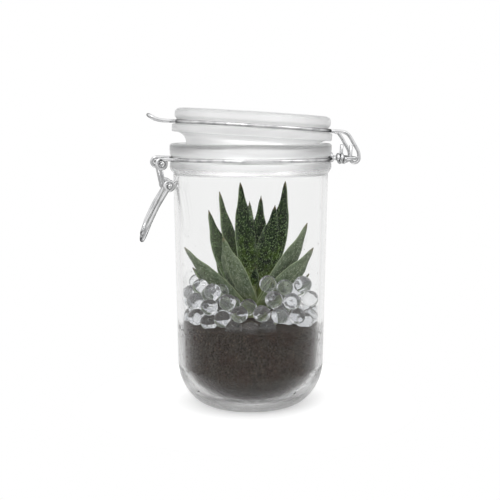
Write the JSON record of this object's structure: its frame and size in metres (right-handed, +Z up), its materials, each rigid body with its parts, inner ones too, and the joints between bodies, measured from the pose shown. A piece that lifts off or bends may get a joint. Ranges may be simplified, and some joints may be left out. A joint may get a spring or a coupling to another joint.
{
  "type": "glass plant terrarium",
  "caption": "Clear clip-top glass jar with its lid ajar, planted with a rosette succulent in dark soil under clear gel beads.",
  "frame": {"origin": "on the ground under the middle of the jar's base", "axes": "+Z up the jar, +X towards the lid's hinge, -X towards the latch"},
  "size_m": [0.1442, 0.1066, 0.1947],
  "materials": {
    "glass": "clear pressed glass",
    "wire": "bright plated steel wire",
    "soil": "fine dark potting soil",
    "water_gel": "clear wet gel",
    "stem": "fleshy pale green",
    "leaf": "fleshy deep green with fine white tubercles"
  },
  "bodies": {
    "jar": {"jar_body": "glass", "neck_wire": "wire", "soil": "soil", "water_beads": "water_gel", "rosette_stem": "stem", "leaf_01": "leaf", "leaf_02": "leaf", "leaf_03": "leaf", "leaf_04": "leaf", "leaf_05": "leaf", "leaf_06": "leaf", "leaf_07": "leaf", "leaf_08": "leaf", "leaf_09": "leaf", "leaf_10": "leaf", "leaf_11": "leaf", "leaf_12": "leaf", "leaf_13": "leaf", "leaf_14": "leaf", "leaf_15": "leaf", "leaf_16": "leaf", "leaf_17": "leaf"},
    "lid": {"lid": "glass", "lid_wire": "wire"},
    "lever": {"latch_lever": "wire"},
    "bail": {"latch_bail": "wire"}
  },
  "joints": [
    {"name": "lid_hinge", "type": "hinge", "parent": "jar", "child": "lid", "pos_m": [0.0674, 0, 0.162], "axis": [0, 1, 0], "range_deg": [-3.6, 230]},
    {"name": "lever_pivot", "type": "hinge", "parent": "jar", "child": "lever", "pos_m": [-0.0602, 0, 0.1595], "axis": [0, 1, 0], "range_deg": [0, 110]},
    {"name": "bail_pivot", "type": "hinge", "parent": "lever", "child": "bail", "pos_m": [-0.0549, 0, 0.1454], "axis": [0, 1, 0], "range_deg": [0, 60]}
  ]
}
